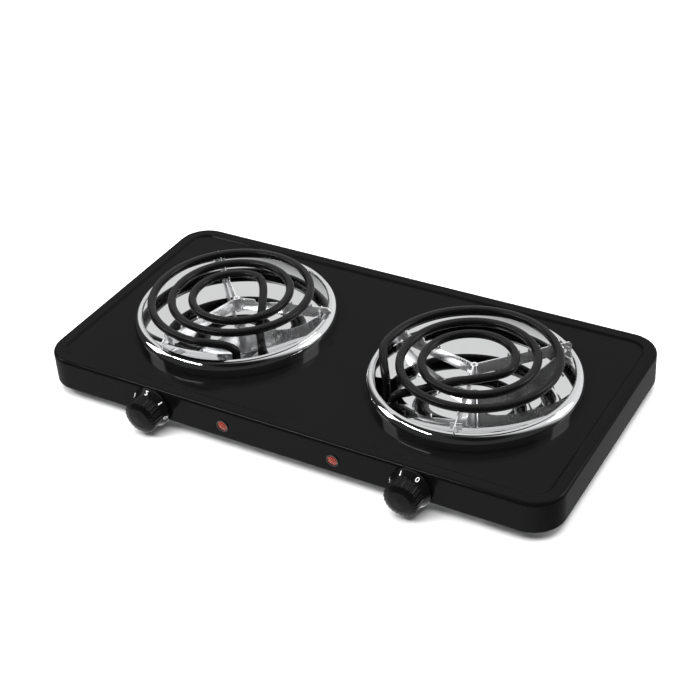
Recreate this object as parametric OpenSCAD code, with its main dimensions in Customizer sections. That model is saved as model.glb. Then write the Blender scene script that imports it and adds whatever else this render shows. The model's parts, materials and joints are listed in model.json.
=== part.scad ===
// Two-burner electric coil hot plate, in millimetres.
// +Z is up, the front with the knobs faces -Y, and the feet stand on Z = 0.
// The origin is the middle of the whole outline at table level.

/* [Housing] */
// Width of the housing, side to side
body_w = 450; // [430:5:480]
// Depth of the housing, front wall to back wall
body_d = 228; // [220:2:250]
// Height of the raised rim above the table
rim_z = 35.5; // [34:0.5:38]
// Depth of the top panel below the rim
panel_recess = 1.7; // [1:0.1:2.5]
// Width of the flat band around the top panel
rim_band = 10; // [7:0.5:14]
// Radius of the upright corners, seen from above
corner_r = 25.5; // [20:0.5:30]
// Radius of the fold between the walls and the top
fold_r = 3; // [2:0.25:4]
// Thickness of the pressed steel sheet
sheet_t = 0.8; // [0.6:0.1:1]
// Height of the walls' lower edge above the table
hem_z = 8; // [6:0.5:10]

/* [Burners] */
// Distance of each burner's centre from the middle of the housing
burner_x = 109.5; // [105:0.5:115]
// Distance of both burners to the right of that, as pressed
burner_shift = 1.6; // [0:0.1:3]
// Turn of the left burner against the right one, in degrees
left_turn = 88; // [60:1:110]
// Distance that the left element sits in from its terminals' side
left_pull = 2.5; // [0:0.1:2.5]
// Distance that the left element sits across its terminals' side
left_across = 2; // [0:0.1:2]
// Outer radius of the chrome trim ring at the panel
ring_r = 84.8; // [84.2:0.2:88]
// Height of the trim ring's crest above the table
ring_z = 46; // [44:0.5:47]
// Inner radius of the drip bowl at its lip
bowl_r = 78.2; // [77.5:0.1:79]
// Height of the drip bowl's floor above the table
bowl_floor_z = 33; // [31:0.5:34]
// Radius of the heating tube
tube_r = 3.4; // [3:0.1:3.5]
// Centre-line radius of the outer turn
coil_r = 73; // [71:0.2:74]
// Step from one turn of the coil to the next
coil_pitch = 16.9; // [15:0.1:18]
// Height of the heating tube's centre line above the table
coil_z = 56; // [55:0.5:58]

/* [Controls] */
// Distance of each knob from the middle of the housing
knob_x = 115; // [105:1:125]
// Height of the knobs' axes above the table
knob_z = 18.7; // [18:0.1:20]
// Radius of the knob's numbered skirt
skirt_r = 17; // [16:0.5:18]
// Radius of the knob's fluted grip
grip_r = 14; // [12:0.5:14.5]
// Reach of the knob in front of the housing
knob_reach = 20.7; // [19:0.1:24]
// Distance of each indicator lamp from the middle of the housing
lamp_x = 49; // [40:1:60]
// Height of the indicator lamps above the table
lamp_z = 20; // [18:0.5:22]
// Radius of the lamp's lens
lamp_r = 4.2; // [3.5:0.1:5]

/* [Hidden] */
$fn = 64;
tiny = 0.01;

sides = ["left", "right"];
corners = ["front_left", "front_right", "rear_left", "rear_right"];
arms = ["arm_a", "arm_b", "arm_c"];
burner_nodes = ["trim_ring", "drip_bowl", "coil", "arm_a", "arm_b", "arm_c", "hub",
                "terminal_block", "terminal_pins", "hinge_pin", "hinge_bracket"];
control_nodes = ["knob", "shaft", "thermostat", "thermostat_plate", "plate_screw_a",
                 "plate_screw_b", "lamp_bezel", "lamp_lens", "lamp_body", "supply_lead"];

// Housing
front_y = -body_d / 2;
back_y = body_d / 2;
panel_z = rim_z - panel_recess;
under_z = panel_z - sheet_t;
step_w = 2;
panel_inset = rim_band + step_w;
hem_w = 10;
cutout_r = bowl_r + 3;
floor_z = hem_z + sheet_t;
base_top_z = floor_z + sheet_t;

// Rear cord bushing
bushing_x = 0;
bushing_z = 20;
bushing_bore_r = 3.5;
bushing_hole_r = 7;
bushing_flange_t = 3;

// The whole part is moved back so that the origin is the middle of its outline.
shift_y = (knob_reach - bushing_flange_t) / 2;

// Feet and fixings, measured from the middle of the housing
foot_x = body_w / 2 - 35;
foot_y = body_d / 2 - 30;
foot_top_r = 11;
foot_low_r = 9.5;
base_screw_x = body_w / 2 - 60;
base_screw_y = body_d / 2 - 5.5;

// Burner: the terminals lie along one direction, and a point near them is given as
// [distance out along it, distance across it, height].
out_az = -137.5;
leg_out = 67.5;
leg_gap = 10.3;
leg_z = 25.5;
leg_end = 84;
leg_bend = 6;
hinge_out = 88;
hinge_z = 21.5;
hinge_pin_r = 1.25;
block_half = 18;
block_in = 79.5;
block_out = 96.5;
ear_t = 1.2;
arm_az = [-75, 47, 167];
arm_t = 1;
arm_top_z = coil_z - tube_r - 0.15;
arm_low_z = 42;
arm_tip_r = 81.4;
hub_r = 2.2;
bowl_t = 0.6;
window_in = 60;
window_half = 17;
window_top = 45.4;
ring_t = 0.7;
lip_h = 3;

// Coil: azimuths fall from the outer end to the inner one.
coil_az0 = -172;
coil_az1 = -1075;
coil_step = 9;
tube_sides = 10;

// Controls
flange_gap = 1.2;
shaft_r = 3;
shaft_back = 21;
plate_screw_dx = 11.5;
body_back = 25;
lead_r = 1.4;

function unit(v) = v / norm(v);
function side_x(s) = s == "left" ? -1 : 1;
function corner_xy(c) = [
    (c == "front_left" || c == "rear_left") ? -1 : 1,
    (c == "front_left" || c == "front_right") ? -1 : 1];
function polar(r, az, z) = [r * cos(az), r * sin(az), z];
function near(q) = [
    q[0] * cos(out_az) - q[1] * sin(out_az),
    q[0] * sin(out_az) + q[1] * cos(out_az),
    q[2]];
function bezier(a, b, c, d, n) = [
    for (i = [0:n]) let (t = i / n, u = 1 - t)
        a * u * u * u + 3 * b * u * u * t + 3 * c * u * t * t + d * t * t * t];

// ---------------------------------------------------------------- sweeping a round tube
function tangent(p, i) = unit(p[min(i + 1, len(p) - 1)] - p[max(i - 1, 0)]);
function squared(n, t) = unit(n - (n * t) * t);
function normals(p, start) = [
    for (i = 0, n = squared(start, tangent(p, 0)); i < len(p);
         i = i + 1, n = i < len(p) ? squared(n, tangent(p, i)) : n) n];

module tube(path, r, n, start) {
    frame = normals(path, start);
    points = [for (i = [0:len(path) - 1])
        let (a = frame[i], b = cross(tangent(path, i), a))
        for (k = [0:n - 1]) path[i] + r * (a * cos(360 * k / n) + b * sin(360 * k / n))];
    walls = [for (i = [0:len(path) - 2]) for (k = [0:n - 1])
        let (m = (k + 1) % n)
        [i * n + k, (i + 1) * n + k, (i + 1) * n + m, i * n + m]];
    first = [for (k = [0:n - 1]) k];
    last = [for (k = [n - 1:-1:0]) (len(path) - 1) * n + k];
    polyhedron(points, concat(walls, [first, last]), convexity = 6);
}

// ---------------------------------------------------------------- flat outlines
module rounded_plate(w, d, r, t) {
    for (s = [[w, d - 2 * r], [w - 2 * r, d]])
        translate([-s[0] / 2, -s[1] / 2, 0])
            cube([s[0], s[1], t]);
    for (x = [-1, 1]) for (y = [-1, 1])
        translate([x * (w / 2 - r), y * (d / 2 - r), 0])
            cylinder(r = r, h = t);
}

module slot(l, w, t) {
    translate([-l / 2 + w / 2, -w / 2, 0])
        cube([l - w, w, t]);
    for (x = [-1, 1])
        translate([x * (l - w) / 2, 0, 0])
            cylinder(r = w / 2, h = t, $fn = 24);
}

// Carries a wall's profile round a rectangle with rounded corners.
// The profile's x is the distance out from a corner's centre.
module around(w, d, r) {
    for (k = [0:3])
        rotate([0, 0, 90 * k])
            translate([k % 2 == 0 ? w / 2 - r : d / 2 - r, k % 2 == 0 ? d / 2 - r : w / 2 - r, 0]) {
                rotate_extrude(angle = 90)
                    children();
                rotate([90, 0, 0])
                    linear_extrude(k % 2 == 0 ? d - 2 * r : w - 2 * r)
                        children();
            }
}

module housing_profile() {
    band_x = corner_r - rim_band;
    fold_x = corner_r - fold_r;
    fold_z = rim_z - fold_r;
    translate([corner_r - sheet_t, hem_z])
        square([sheet_t, fold_z - hem_z]);
    translate([corner_r - hem_w, hem_z])
        square([hem_w, sheet_t]);
    intersection() {
        difference() {
            translate([fold_x, fold_z])
                circle(r = fold_r);
            translate([fold_x, fold_z])
                circle(r = fold_r - sheet_t);
        }
        translate([fold_x, fold_z])
            square(fold_r + 1);
    }
    translate([band_x, rim_z - sheet_t])
        square([rim_band - fold_r, sheet_t]);
    polygon([
        [band_x, rim_z - sheet_t], [band_x, rim_z],
        [band_x - step_w, panel_z], [band_x - step_w, under_z]]);
}

// ---------------------------------------------------------------- housing and base
module on_front(x, z) {
    translate([x, front_y, z])
        rotate([90, 0, 0])
            children();
}

module housing() {
    color([0.05, 0.05, 0.055])
        difference() {
            union() {
                around(body_w, body_d, corner_r)
                    housing_profile();
                translate([0, 0, under_z])
                    rounded_plate(body_w - 2 * panel_inset, body_d - 2 * panel_inset,
                                  corner_r - panel_inset, sheet_t);
            }
            for (x = [-1, 1]) {
                translate([x * burner_x + burner_shift, 0, under_z - 1])
                    cylinder(r = cutout_r, h = 3);
                on_front(x * knob_x, knob_z)
                    cylinder(r = shaft_r + 1.5, h = 4, center = true);
                for (dx = [-1, 1])
                    on_front(x * knob_x + dx * plate_screw_dx, knob_z)
                        cylinder(r = 1.6, h = 4, center = true);
                on_front(x * lamp_x, lamp_z)
                    cylinder(r = lamp_r + 0.5, h = 4, center = true);
                for (y = [-1, 1])
                    translate([x * base_screw_x, y * base_screw_y, hem_z - 1])
                        cylinder(r = 1.7, h = 3);
            }
            translate([bushing_x, back_y, bushing_z])
                rotate([90, 0, 0])
                    cylinder(r = bushing_hole_r, h = 4, center = true);
        }
}

module base_plate() {
    gap = sheet_t + 0.6;
    color([0.62, 0.63, 0.64])
        difference() {
            union() {
                translate([0, 0, floor_z])
                    rounded_plate(body_w - 2 * gap, body_d - 2 * gap, corner_r - gap, sheet_t);
                for (c = corners)
                    translate([corner_xy(c)[0] * foot_x, corner_xy(c)[1] * foot_y, base_top_z])
                        cylinder(r = 3.6, h = 2.4);
            }
            for (c = corners) {
                translate([corner_xy(c)[0] * foot_x, corner_xy(c)[1] * foot_y, floor_z - 1])
                    cylinder(r = 2.05, h = 6);
                translate([corner_xy(c)[0] * base_screw_x, corner_xy(c)[1] * base_screw_y, floor_z - 1])
                    cylinder(r = 1.6, h = 3);
            }
            for (x = [-1, 1]) for (i = [-3:3])
                translate([x * burner_x + burner_shift + i * 12, 0, floor_z - 1])
                    rotate([0, 0, 90])
                        slot(60 - 6 * abs(i), 5, 3);
            translate([32, 60, floor_z - 1])
                cylinder(r = 2.1, h = 3);
        }
}

module foot(c) {
    s = corner_xy(c);
    color([0.09, 0.09, 0.09])
        translate([s[0] * foot_x, s[1] * foot_y, 0])
            difference() {
                cylinder(r1 = foot_low_r, r2 = foot_top_r, h = floor_z);
                translate([0, 0, -1])
                    cylinder(r = 5, h = 5);
                translate([0, 0, 1])
                    cylinder(r = 2.2, h = floor_z);
            }
}

module foot_screw(c) {
    s = corner_xy(c);
    color([0.7, 0.7, 0.72])
        translate([s[0] * foot_x, s[1] * foot_y, 0])
            difference() {
                union() {
                    translate([0, 0, 1.8])
                        cylinder(r = 3.8, h = 2.2);
                    translate([0, 0, 4])
                        cylinder(r = 2, h = 9.5);
                }
                for (a = [0, 90])
                    rotate([0, 0, a])
                        translate([-2.2, -0.45, 1])
                            cube([4.4, 0.9, 2]);
            }
}

module base_screw(c) {
    s = corner_xy(c);
    color([0.7, 0.7, 0.72])
        translate([s[0] * base_screw_x, s[1] * base_screw_y, 0])
            difference() {
                union() {
                    translate([0, 0, hem_z - 1.6])
                        cylinder(r = 2.9, h = 1.6);
                    translate([0, 0, hem_z])
                        cylinder(r = 1.5, h = 7);
                }
                for (a = [0, 90])
                    rotate([0, 0, a])
                        translate([-1.7, -0.35, hem_z - 2])
                            cube([3.4, 0.7, 1.2]);
            }
}

// ---------------------------------------------------------------- mains entry
module cord_bushing() {
    grip_in = 4;
    color([0.07, 0.07, 0.07])
        translate([bushing_x, back_y, bushing_z])
            rotate([90, 0, 0])
                difference() {
                    union() {
                        translate([0, 0, -bushing_flange_t])
                            cylinder(r = bushing_hole_r + 2, h = bushing_flange_t);
                        translate([0, 0, -tiny])
                            cylinder(r = bushing_hole_r - 0.2, h = sheet_t + 0.2);
                        translate([0, 0, sheet_t + 0.1])
                            cylinder(r = bushing_hole_r + 1, h = grip_in);
                    }
                    translate([0, 0, -10])
                        cylinder(r = bushing_bore_r, h = 30);
                }
}

module terminal_strip() {
    color([0.9, 0.88, 0.8])
        translate([0, 70, base_top_z])
            difference() {
                union() {
                    translate([-17, -8, 0])
                        cube([34, 16, 6]);
                    for (i = [-1:1])
                        translate([i * 11 - 4, -8, 6 - tiny])
                            cube([8, 16, 7]);
                }
                for (i = [-1:1])
                    translate([i * 11, 0, 8])
                        cylinder(r = 2.2, h = 10);
            }
}

module earth_screw() {
    color([0.78, 0.62, 0.3])
        translate([32, 60, 0]) {
            translate([0, 0, base_top_z])
                cylinder(r = 4, h = 2.8, $fn = 6);
            translate([0, 0, floor_z - 0.6])
                cylinder(r = 2, h = 12);
        }
}

// ---------------------------------------------------------------- burners
module burner(s) {
    translate([side_x(s) * burner_x + burner_shift, 0, 0])
        rotate([0, 0, s == "left" ? left_turn : 0])
            children();
}

module element(s) {
    burner(s)
        translate(s == "left" ? near([-left_pull, left_across, 0]) : [0, 0, 0])
            children();
}

module trim_ring() {
    lip_r = bowl_r + 1.2;
    dome = ring_r - lip_r;
    dome_z = ring_z - dome;
    color([0.85, 0.86, 0.88])
        union() {
            rotate_extrude()
                intersection() {
                    difference() {
                        translate([lip_r, dome_z])
                            circle(r = dome);
                        translate([lip_r, dome_z])
                            circle(r = dome - ring_t);
                    }
                    translate([lip_r, dome_z])
                        square(dome + 1);
                }
            rotate_extrude()
                translate([lip_r, ring_z - lip_h])
                    square([ring_t, lip_h - ring_t / 2]);
            rotate_extrude()
                translate([ring_r - ring_t, panel_z])
                    square([ring_t, dome_z - panel_z]);
        }
}

// The bowl rises slowly from its middle and faster to its lip.
bowl_radii = [0, 15, 27, 36, 44, 51, 57, 62, 66, 70, 74, 77.6];
function bowl_z(r) = bowl_floor_z + (ring_z - bowl_floor_z) * pow(r / bowl_r, 3);

module drip_bowl() {
    last = len(bowl_radii) - 1;
    inside = [for (i = [last:-1:0]) [bowl_radii[i], bowl_z(bowl_radii[i])]];
    outside = [for (r = bowl_radii) [r + (r > 0 ? 0.25 : 0), bowl_z(r) - bowl_t]];
    color([0.85, 0.86, 0.88])
        difference() {
            rotate_extrude()
                polygon(concat(
                    [[bowl_r + 2.6, ring_z + bowl_t], [bowl_r, ring_z + bowl_t]], inside, outside,
                    [[bowl_r + bowl_t, ring_z], [bowl_r + 2.6, ring_z]]));
            rotate([0, 0, out_az])
                translate([window_in, -window_half, 15])
                    cube([30, 2 * window_half, window_top - 15]);
        }
}

function spiral_r(az) = coil_r - coil_pitch * (coil_az0 - az) / 360;
function turn_point(az) = polar(spiral_r(az), az, coil_z);
function turn_way(az) = [sin(az), -cos(az), 0];
function bend_up(side) = bezier(
    near([leg_out + leg_bend, side, leg_z]), near([leg_out + leg_bend * 0.45, side, leg_z]),
    near([leg_out, side, leg_z + leg_bend * 0.55]), near([leg_out, side, leg_z + leg_bend]), 7);
function backwards(p) = [for (i = [len(p) - 1:-1:0]) p[i]];

// The inner end swings across the middle and runs out under the turns.
cross_under = [-2, -27, coil_z - 3];
under_turns = [-24, -38.5, coil_z - 9];
before_dive = [-35.5, -47.8, coil_z - 10];
cross_way = unit([-0.87, -0.5, 0]);
under_way = unit(before_dive - under_turns);

coil_path = concat(
    [near([leg_end, -leg_gap, leg_z])],
    bend_up(-leg_gap),
    bezier(near([leg_out, -leg_gap, 44]), near([leg_out, -leg_gap, 53]),
           turn_point(coil_az0) - 9 * turn_way(coil_az0), turn_point(coil_az0), 10),
    [for (az = [coil_az0 - coil_step:-coil_step:coil_az1 + coil_step / 2]) turn_point(az)],
    bezier(turn_point(coil_az1), turn_point(coil_az1) + 12 * turn_way(coil_az1),
           cross_under - 14 * cross_way + [0, 0, 2], cross_under, 10),
    [for (i = [1:6]) bezier(cross_under, cross_under + 8 * cross_way - [0, 0, 2],
           under_turns - 7 * under_way + [0, 0, 1], under_turns, 6)[i]],
    bezier(before_dive, before_dive + 7 * under_way,
           near([leg_out, leg_gap, coil_z - 11]), near([leg_out, leg_gap, 37]), 8),
    backwards(bend_up(leg_gap)),
    [near([leg_end, leg_gap, leg_z])]);

module coil() {
    color([0.13, 0.13, 0.14])
        tube(coil_path, tube_r, tube_sides, [0, 0, 1]);
}

// Radii at which the turns cross an arm, from the outside in.
function crossings(az) = [
    for (k = [-6:0]) let (a = az + 360 * k)
        if (a < coil_az0 - 4 && a > coil_az1 + 4) spiral_r(a)];

module arm_profile(i) {
    difference() {
        polygon([
            [hub_r + 0.05, arm_low_z], [66.5, arm_low_z], [72, 44.8], [75, ring_z + 0.75],
            [arm_tip_r, ring_z + 0.75], [arm_tip_r, ring_z + 3.5], [79, arm_top_z],
            [hub_r + 0.05, arm_top_z]]);
        if (i == 0)
            translate([16, arm_top_z - 3])
                square([16, 4]);
    }
    for (r = crossings(arm_az[i]))
        translate([r - tube_r - 2.2, arm_top_z - 1])
            square([1.6, 4]);
}

module arm(i) {
    color([0.8, 0.81, 0.83])
        rotate([0, 0, arm_az[i]]) {
            translate([0, arm_t / 2, 0])
                rotate([90, 0, 0])
                    linear_extrude(arm_t)
                        arm_profile(i);
            translate([72.2, -4.5, 45])
                cube([1, 9, 5.8]);
        }
}

module hub() {
    color([0.8, 0.81, 0.83])
        difference() {
            union() {
                translate([0, 0, arm_low_z - 1])
                    cylinder(r = 4.6, h = 1);
                translate([0, 0, arm_low_z - tiny])
                    cylinder(r = hub_r, h = arm_top_z - arm_low_z);
            }
            translate([0, 0, arm_low_z - 2])
                cylinder(r = 1.2, h = 20);
        }
}

module at_terminals() {
    rotate([0, 0, out_az])
        children();
}

module terminal_block() {
    color([0.92, 0.9, 0.84])
        at_terminals()
            difference() {
                translate([block_in, -block_half, hinge_z - 2.7])
                    cube([block_out - block_in, 2 * block_half, 11.2]);
                for (y = [-1, 1])
                    translate([0, y * leg_gap, leg_z])
                        rotate([0, 90, 0]) {
                            translate([0, 0, block_in - 1])
                                cylinder(r = tube_r + 0.05, h = leg_end - block_in + 1);
                            cylinder(r = 1.7, h = block_out + 1);
                        }
                translate([hinge_out, 0, hinge_z])
                    rotate([90, 0, 0])
                        cylinder(r = hinge_pin_r + 0.03, h = 60, center = true);
            }
}

module terminal_pins() {
    color([0.75, 0.75, 0.76])
        at_terminals()
            for (y = [-1, 1])
                translate([0, y * leg_gap, leg_z]) {
                    translate([leg_end + 0.2, 0, 0])
                        rotate([0, 90, 0])
                            cylinder(r = 1.6, h = block_out - leg_end + 0.6);
                    translate([block_out + 0.6, -3.1, -0.4])
                        cube([6.5, 6.2, 0.8]);
                }
}

module hinge_pin() {
    color([0.75, 0.75, 0.76])
        at_terminals()
            translate([hinge_out, 0, hinge_z])
                rotate([90, 0, 0])
                    cylinder(r = hinge_pin_r, h = 2 * (block_half + ear_t + 1.4), center = true);
}

module hinge_bracket() {
    ear_y = block_half + 0.4;
    color([0.62, 0.63, 0.64])
        at_terminals() {
            translate([hinge_out - 4, -ear_y - ear_t, under_z - 0.8])
                cube([15, 2 * (ear_y + ear_t), 0.8]);
            for (y = [-ear_y - ear_t, ear_y])
                difference() {
                    translate([hinge_out - 4, y, hinge_z - 3.5])
                        cube([8, ear_t, under_z - hinge_z + 3.5]);
                    translate([hinge_out, 0, hinge_z])
                        rotate([90, 0, 0])
                            cylinder(r = hinge_pin_r + 0.05, h = 60, center = true);
                }
        }
}

// ---------------------------------------------------------------- controls
module control(s) {
    on_front(side_x(s) * knob_x, knob_z)
        children();
}

module knob() {
    skirt_t = 2;
    cone_z = 8;
    cap_z = knob_reach - 3;
    dome_r = 34;
    ribs = 24;
    color([0.04, 0.04, 0.045])
        difference() {
            union() {
                translate([0, 0, flange_gap])
                    cylinder(r = skirt_r, h = skirt_t);
                translate([0, 0, flange_gap + skirt_t])
                    cylinder(r1 = skirt_r, r2 = grip_r, h = cone_z - flange_gap - skirt_t);
                intersection() {
                    translate([0, 0, cone_z - tiny])
                        cylinder(r = grip_r, h = knob_reach - cone_z + tiny);
                    translate([0, 0, knob_reach - dome_r])
                        sphere(r = dome_r, $fn = 96);
                }
            }
            for (i = [0:ribs - 1])
                rotate([0, 0, 360 * i / ribs])
                    translate([grip_r + 0.5, 0, cone_z + 0.6])
                        cylinder(r = 1.1, h = cap_z - cone_z - 0.6, $fn = 24);
            translate([0, 0, -1])
                cylinder(r = shaft_r + 0.1, h = 14);
            translate([0, 0, -1])
                cylinder(r = skirt_r - 2.2, h = 5.2);
        }
}

module shaft() {
    color([0.72, 0.72, 0.74])
        translate([0, 0, -shaft_back])
            cylinder(r = shaft_r, h = shaft_back + 12.8);
}

module thermostat_plate() {
    color([0.72, 0.73, 0.74])
        translate([0, 0, -sheet_t - 1.2])
            difference() {
                translate([-16, -8, 0])
                    cube([32, 16, 1.2]);
                cylinder(r = shaft_r + 1.5, h = 5, center = true);
                for (dx = [-1, 1])
                    translate([dx * plate_screw_dx, 0, 0])
                        cylinder(r = 1.45, h = 5, center = true);
            }
}

module thermostat() {
    front = -sheet_t - 1.25;
    color([0.86, 0.84, 0.78])
        difference() {
            union() {
                translate([-7.5, -8, front - body_back])
                    cube([15, 16, body_back]);
                translate([-14, -8, front - body_back])
                    cube([28, 16, body_back - 9]);
                for (x = [-10.5, 4.5])
                    translate([x, -0.5, front - body_back - 8])
                        cube([6, 1, 8 + tiny]);
            }
            translate([0, 0, -shaft_back - 1])
                cylinder(r = shaft_r + 0.05, h = shaft_back + 2);
        }
}

module plate_screw(side) {
    color([0.7, 0.7, 0.72])
        translate([side * plate_screw_dx, 0, 0])
            difference() {
                union() {
                    cylinder(r = 2.6, h = 1.7);
                    translate([0, 0, -6])
                        cylinder(r = 1.4, h = 6 + tiny);
                }
                for (a = [0, 90])
                    rotate([0, 0, a])
                        translate([-1.5, -0.3, 0.8])
                            cube([3, 0.6, 1]);
            }
}

module lamp(s) {
    on_front(side_x(s) * lamp_x, lamp_z)
        children();
}

module lamp_bezel() {
    color([0.1, 0.1, 0.1])
        difference() {
            union() {
                cylinder(r1 = lamp_r + 1.1, r2 = lamp_r + 0.8, h = 0.9);
                translate([0, 0, -6])
                    cylinder(r = lamp_r + 0.4, h = 6 + tiny);
            }
            translate([0, 0, -10])
                cylinder(r = lamp_r + 0.05, h = 20);
        }
}

module lamp_lens() {
    dome = 9;
    color([0.9, 0.2, 0.08])
        intersection() {
            translate([0, 0, -4])
                cylinder(r = lamp_r, h = 6);
            translate([0, 0, 1.4 - dome])
                sphere(r = dome);
        }
}

module lamp_body() {
    color([0.85, 0.84, 0.8])
        union() {
            translate([0, 0, -17])
                cylinder(r = lamp_r + 0.4, h = 10.9);
            for (x = [-1, 1])
                translate([x * 2, 0, -20])
                    cylinder(r = 0.5, h = 3 + tiny, $fn = 16);
        }
}

// A lead from the terminal strip to the blade at the back of each thermostat.
module supply_lead(s) {
    x = side_x(s);
    blade_y = front_y + sheet_t + 1.25 + body_back + 8;
    path = [
        [x * 11, 61.5, base_top_z + 3], [x * 11, 50, base_top_z + 2.5], [x * 16, 40, base_top_z + 2],
        [x * 18, 10, base_top_z + 2], [x * 18, -40, base_top_z + 2], [x * 24, -58, base_top_z + 2],
        [x * 40, -68, base_top_z + 2.5], [x * 84, -72, base_top_z + 3.5],
        [x * (knob_x - 14), -73, knob_z - 3], [x * (knob_x - 8), -76, knob_z],
        [x * (knob_x - 7.5), blade_y + 0.3, knob_z]];
    color([0.8, 0.78, 0.7])
        tube(path, lead_r, 8, [0, 0, 1]);
}

// ---------------------------------------------------------------- the parts in place
module in_frame() {
    translate([0, shift_y, 0])
        children();
}

in_frame() housing();
in_frame() base_plate();
in_frame() cord_bushing();
in_frame() terminal_strip();
in_frame() earth_screw();
for (c = corners) {
    in_frame() foot(c);
    in_frame() foot_screw(c);
    in_frame() base_screw(c);
}
for (s = sides) {
    in_frame() burner(s) trim_ring();
    in_frame() burner(s) drip_bowl();
    in_frame() element(s) coil();
    in_frame() element(s) hub();
    in_frame() element(s) terminal_block();
    in_frame() element(s) terminal_pins();
    in_frame() element(s) hinge_pin();
    in_frame() element(s) hinge_bracket();
    for (i = [0:len(arms) - 1])
        in_frame() element(s) arm(i);
    in_frame() control(s) knob();
    in_frame() control(s) shaft();
    in_frame() control(s) thermostat();
    in_frame() control(s) thermostat_plate();
    in_frame() control(s) plate_screw(-1);
    in_frame() control(s) plate_screw(1);
    in_frame() lamp(s) lamp_bezel();
    in_frame() lamp(s) lamp_lens();
    in_frame() lamp(s) lamp_body();
    in_frame() supply_lead(s);
}
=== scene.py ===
"""Looks for the two-burner coil hot plate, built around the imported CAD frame."""

import json
import math

import bmesh
import bpy
import numpy as np
from mathutils import Matrix, Vector


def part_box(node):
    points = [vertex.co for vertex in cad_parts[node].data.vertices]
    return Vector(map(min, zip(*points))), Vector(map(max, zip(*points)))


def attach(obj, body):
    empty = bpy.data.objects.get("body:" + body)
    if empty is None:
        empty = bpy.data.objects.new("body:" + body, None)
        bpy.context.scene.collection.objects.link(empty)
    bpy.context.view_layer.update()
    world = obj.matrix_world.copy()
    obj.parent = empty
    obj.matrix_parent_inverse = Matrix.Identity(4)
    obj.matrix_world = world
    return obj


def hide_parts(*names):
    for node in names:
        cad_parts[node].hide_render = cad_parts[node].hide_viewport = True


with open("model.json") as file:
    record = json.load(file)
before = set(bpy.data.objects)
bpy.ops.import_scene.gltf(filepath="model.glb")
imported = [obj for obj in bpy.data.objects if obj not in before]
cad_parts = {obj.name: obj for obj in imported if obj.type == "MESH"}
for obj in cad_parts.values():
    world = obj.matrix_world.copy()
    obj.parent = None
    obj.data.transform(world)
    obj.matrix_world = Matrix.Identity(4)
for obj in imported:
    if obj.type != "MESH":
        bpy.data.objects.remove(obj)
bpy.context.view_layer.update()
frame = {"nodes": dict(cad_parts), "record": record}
nodes = frame["nodes"]

MM = 0.001
SIDES = ("left", "right")


# ---------------------------------------------------------------- sizes, in millimetres, as in the CAD part
def mm_box(node):
    low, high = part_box(node)
    return np.array(low) / MM, np.array(high) / MM


HOUSING_LOW, HOUSING_HIGH = mm_box("housing")
RING_LOW, RING_HIGH = mm_box("right_trim_ring")
MID = (HOUSING_LOW + HOUSING_HIGH) / 2
FRONT_Y = HOUSING_LOW[1]
RIM_Z = HOUSING_HIGH[2]
HEM_Z = HOUSING_LOW[2]
PANEL_Z = RING_LOW[2]
RING_Z = RING_HIGH[2]
RING_R = (RING_HIGH[0] - RING_LOW[0]) / 2

CORNER_R = 25.5
FOLD_R = 3.0
BAND = 10.0
STEP_W = 2.0
HEM_W = 10.0
SHEET = 0.8
CUTOUT_R = 81.2
SHAFT_HOLE_R = 4.5
PLATE_SCREW_X = 11.5
PLATE_SCREW_R = 1.6

COLLAR_SHEET = 0.6
LIP_R = 79.4
LIP_H = 3.0
CROWN_START = math.radians(15)

BOWL_R = 78.2
FLANGE_W = 2.6
BOWL_T = 0.6
BOWL_FLOOR_Z = 33.0
TUBE_R = 3.4
COIL_R = 73.0
COIL_PITCH = 16.9
COIL_Z = 56.0
COIL_AZ0 = -172.0
COIL_AZ1 = -1075.0
LEFT_TURN = 88.0
LEFT_PULL = 2.5
LEFT_ACROSS = 2.0
OUT_AZ = -137.5
LEG_OUT = 67.5
LEG_GAP = 10.3
LEG_Z = 25.5
LEG_END = 84.0
LEG_BEND = 6.0
WINDOW_IN = 60.0
WINDOW_HALF = 17.0
WINDOW_TOP = 45.4
ARM_AZ = (-75.0, 47.0, 167.0)
ARM_TOP = COIL_Z - TUBE_R - 0.15
ARM_LOW = 42.0
ARM_TIP = 81.4
END_PLATE_R = 72.2
END_PLATE_HALF = 4.5
END_PLATE_LOW = 45.0
END_PLATE_TOP = 50.8
HUB_R = 2.2

KNOB_Z = 18.7
SKIRT_R = 17.0
GRIP_R = 14.0
KNOB_REACH = 20.7
LAMP_Z = 20.0
LAMP_R = 4.2


def middle(node):
    low, high = mm_box(node)
    return (low + high) / 2


# ---------------------------------------------------------------- small geometry helpers
def rounded(points, steps=6, guard=0.35):
    """A 2D polyline from (x, z, radius) corners. Each corner is an arc, with a guard point on the
    flat beside it, so that smooth shading stays inside the arc."""
    p = [np.array(q[:2], float) for q in points]
    out = [p[0]]
    for i in range(1, len(p) - 1):
        radius = points[i][2]
        if radius <= 0:
            out.append(p[i])
            continue
        u, v = p[i - 1] - p[i], p[i + 1] - p[i]
        lu, lv = np.linalg.norm(u), np.linalg.norm(v)
        u, v = u / lu, v / lv
        half = math.acos(max(-1.0, min(1.0, float(u @ v)))) / 2
        reach = min(radius / math.tan(half), 0.49 * lu, 0.49 * lv)
        radius = reach * math.tan(half)
        centre = p[i] + (u + v) / np.linalg.norm(u + v) * radius / math.sin(half)
        start, end = p[i] + u * reach, p[i] + v * reach
        if lu > 2 * (reach + guard):
            out.append(p[i] + u * (reach + guard))
        a, b = start - centre, end - centre
        swing = math.atan2(a[0] * b[1] - a[1] * b[0], float(a @ b))
        for k in range(steps + 1):
            t = swing * k / steps
            out.append(centre + np.array([a[0] * math.cos(t) - a[1] * math.sin(t),
                                          a[0] * math.sin(t) + a[1] * math.cos(t)]))
        if lv > 2 * (reach + guard):
            out.append(p[i] + v * (reach + guard))
    out.append(p[-1])
    return out


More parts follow.
